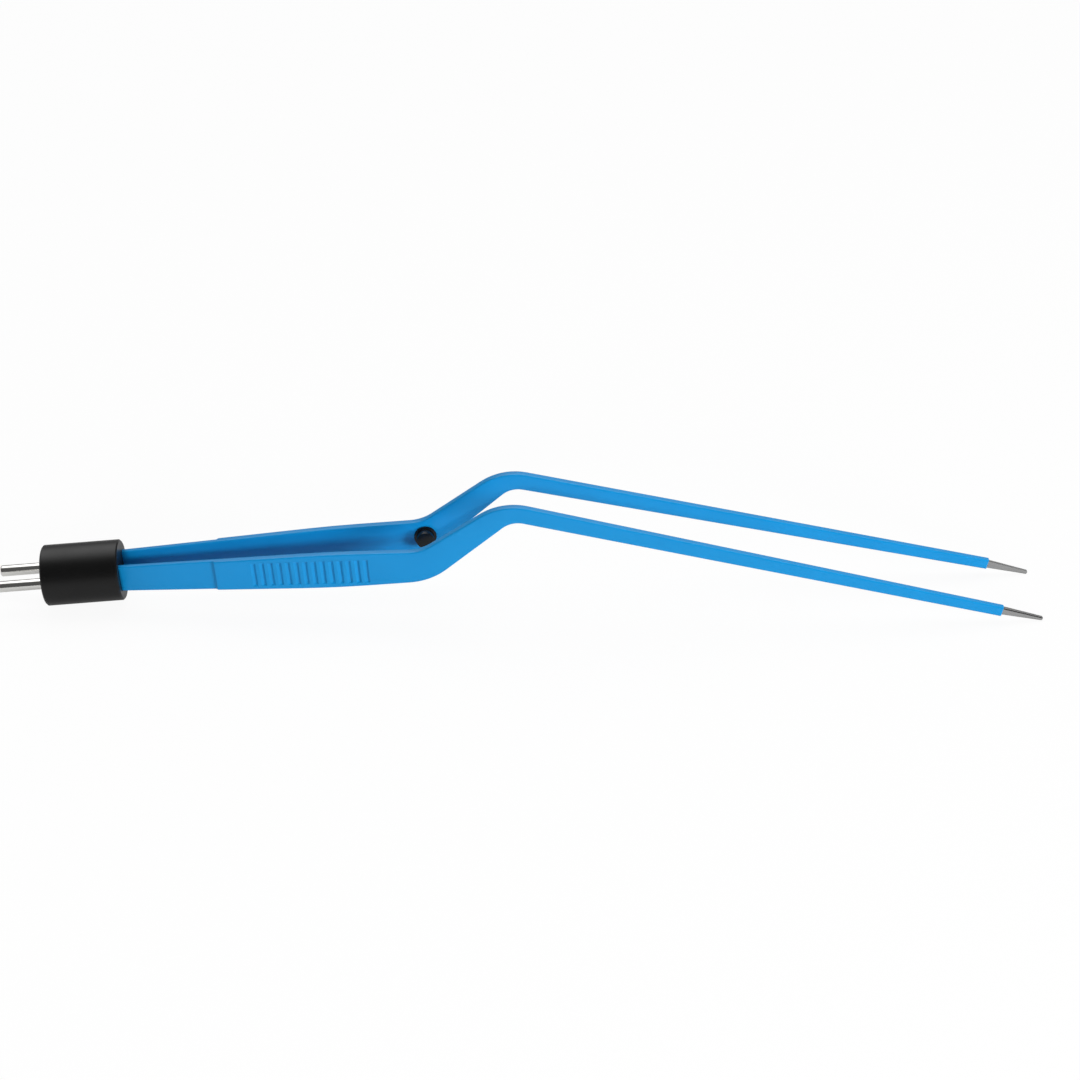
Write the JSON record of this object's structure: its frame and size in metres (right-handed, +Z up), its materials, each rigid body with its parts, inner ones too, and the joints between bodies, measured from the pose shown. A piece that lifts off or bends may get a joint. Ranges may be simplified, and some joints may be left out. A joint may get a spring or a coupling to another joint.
{
  "type": "bipolar forceps",
  "caption": "Bayonet bipolar forceps with coated sprung arms, bare tips and a round plug with contact pins.",
  "frame": {"origin": "centre of the rear face of the plug, where the contact pins come out", "axes": "+X from the plug to the tips, +Y to the arm that carries the stop peg, +Z up as the forceps stand on the lower rear edge of the plug and the two tips, which tips the plug's axis up by 4.8 degrees"},
  "size_m": [0.2221, 0.0212, 0.0269],
  "materials": {
    "cap_black": "satin moulded",
    "carrier_black": "matte moulded",
    "pin_plating": "polished nickel plating",
    "spring_steel": "satin ground",
    "nylon_blue": "satin dip coat",
    "peg_black": "satin moulded",
    "rivet_steel": "plain"
  },
  "bodies": {
    "plug": {"connector_shell": "cap_black", "pin_carrier": "carrier_black", "contact_pin_left": "pin_plating", "contact_pin_right": "pin_plating", "tail_rivet_left": "rivet_steel", "tail_rivet_right": "rivet_steel"},
    "left_arm": {"blade_left": "spring_steel", "insulation_left": "nylon_blue", "stop_peg": "peg_black"},
    "right_arm": {"blade_right": "spring_steel", "insulation_right": "nylon_blue"}
  },
  "joints": [
    {"name": "left_arm_close", "type": "hinge", "parent": "plug", "child": "left_arm", "pos_m": [0.00947, 0.003, 0.0008], "axis": [0.0837, 0, -0.9965], "range_deg": [0, 2.65], "stiffness_Nm_per_rad": 2},
    {"name": "right_arm_close", "type": "hinge", "parent": "plug", "child": "right_arm", "pos_m": [0.00947, -0.003, 0.0008], "axis": [-0.0837, 0, 0.9965], "range_deg": [0, 2.65], "stiffness_Nm_per_rad": 2}
  ]
}
